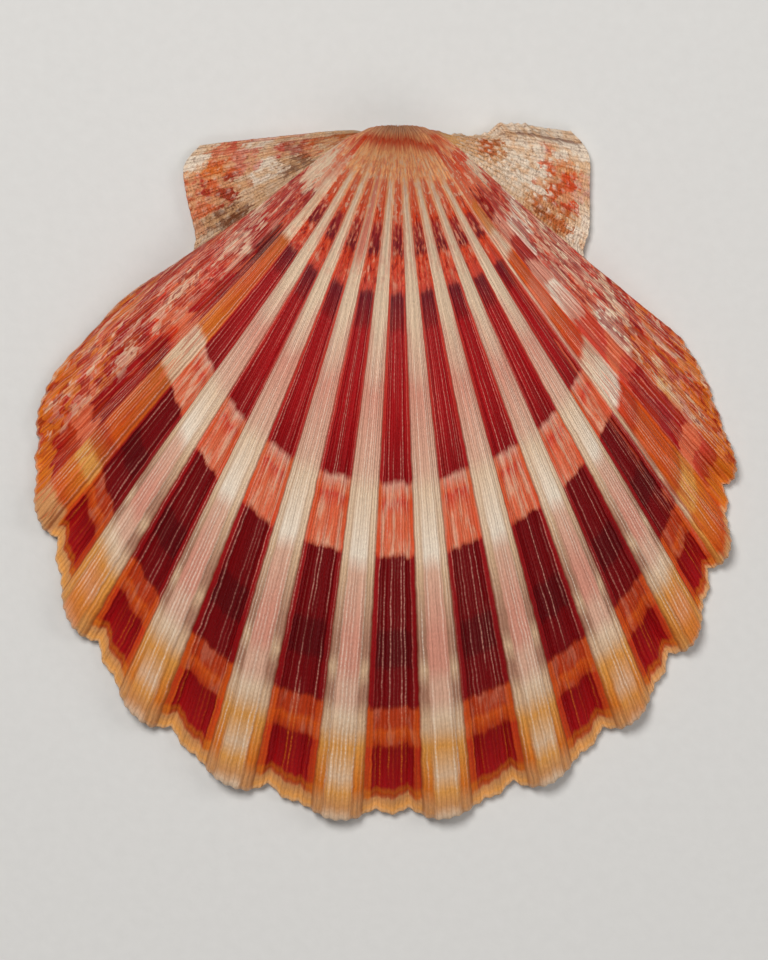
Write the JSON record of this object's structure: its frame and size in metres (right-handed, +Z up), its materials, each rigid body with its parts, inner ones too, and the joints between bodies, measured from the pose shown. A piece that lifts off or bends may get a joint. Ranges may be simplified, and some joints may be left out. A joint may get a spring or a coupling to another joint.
{
  "type": "scallop shell valve",
  "caption": "Single ribbed scallop valve with two ears, convex outside and open hollow inside, lying on its notched margin.",
  "frame": {"origin": "centre of the valve's bounding box in plan, on the plane that its margin rests on", "axes": "+Z up, out of the convex outside; +Y towards the hinge and the beak; +X towards the front ear with the byssal notch"},
  "size_m": [0.0658, 0.0654, 0.0152],
  "materials": {
    "shell": "satin"
  },
  "bodies": {
    "root": {"right_valve": "shell"}
  },
  "joints": []
}
